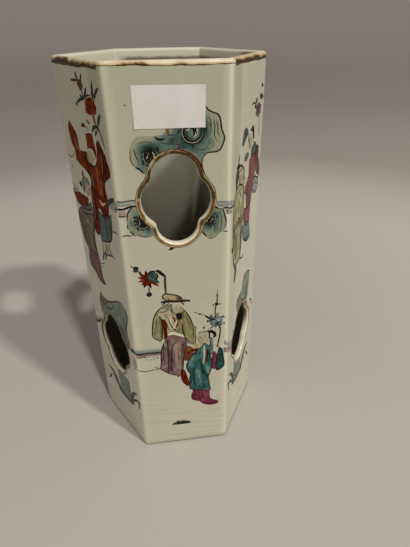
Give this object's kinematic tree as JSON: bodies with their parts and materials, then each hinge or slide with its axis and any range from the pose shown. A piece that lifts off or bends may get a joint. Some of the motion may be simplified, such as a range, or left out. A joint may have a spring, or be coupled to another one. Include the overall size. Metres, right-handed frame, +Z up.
{
  "type": "hexagonal openwork hat stand vase",
  "caption": "Tall hexagonal porcelain hat stand with straight slab walls, an open top, a recessed base and quatrefoil openings pierced high and low on alternate walls.",
  "frame": {"origin": "centre of the foot, on the surface that the vase stands on", "axes": "+Z up, and the front wall faces -Y"},
  "size_m": [0.1308, 0.1144, 0.285],
  "materials": {
    "glazed_porcelain": "glossy clear glaze over white porcelain, with a faint green tint",
    "glazed_floor": "thinner glaze inside, bare biscuit on the underside"
  },
  "bodies": {
    "root": {"wall_front": "glazed_porcelain", "wall_front_right": "glazed_porcelain", "wall_back_right": "glazed_porcelain", "wall_back": "glazed_porcelain", "wall_back_left": "glazed_porcelain", "wall_front_left": "glazed_porcelain", "corner_coil_front_right": "glazed_porcelain", "corner_coil_right": "glazed_porcelain", "corner_coil_back_right": "glazed_porcelain", "corner_coil_back_left": "glazed_porcelain", "corner_coil_left": "glazed_porcelain", "corner_coil_front_left": "glazed_porcelain", "base_slab": "glazed_floor", "base_coil": "glazed_porcelain"}
  },
  "joints": []
}
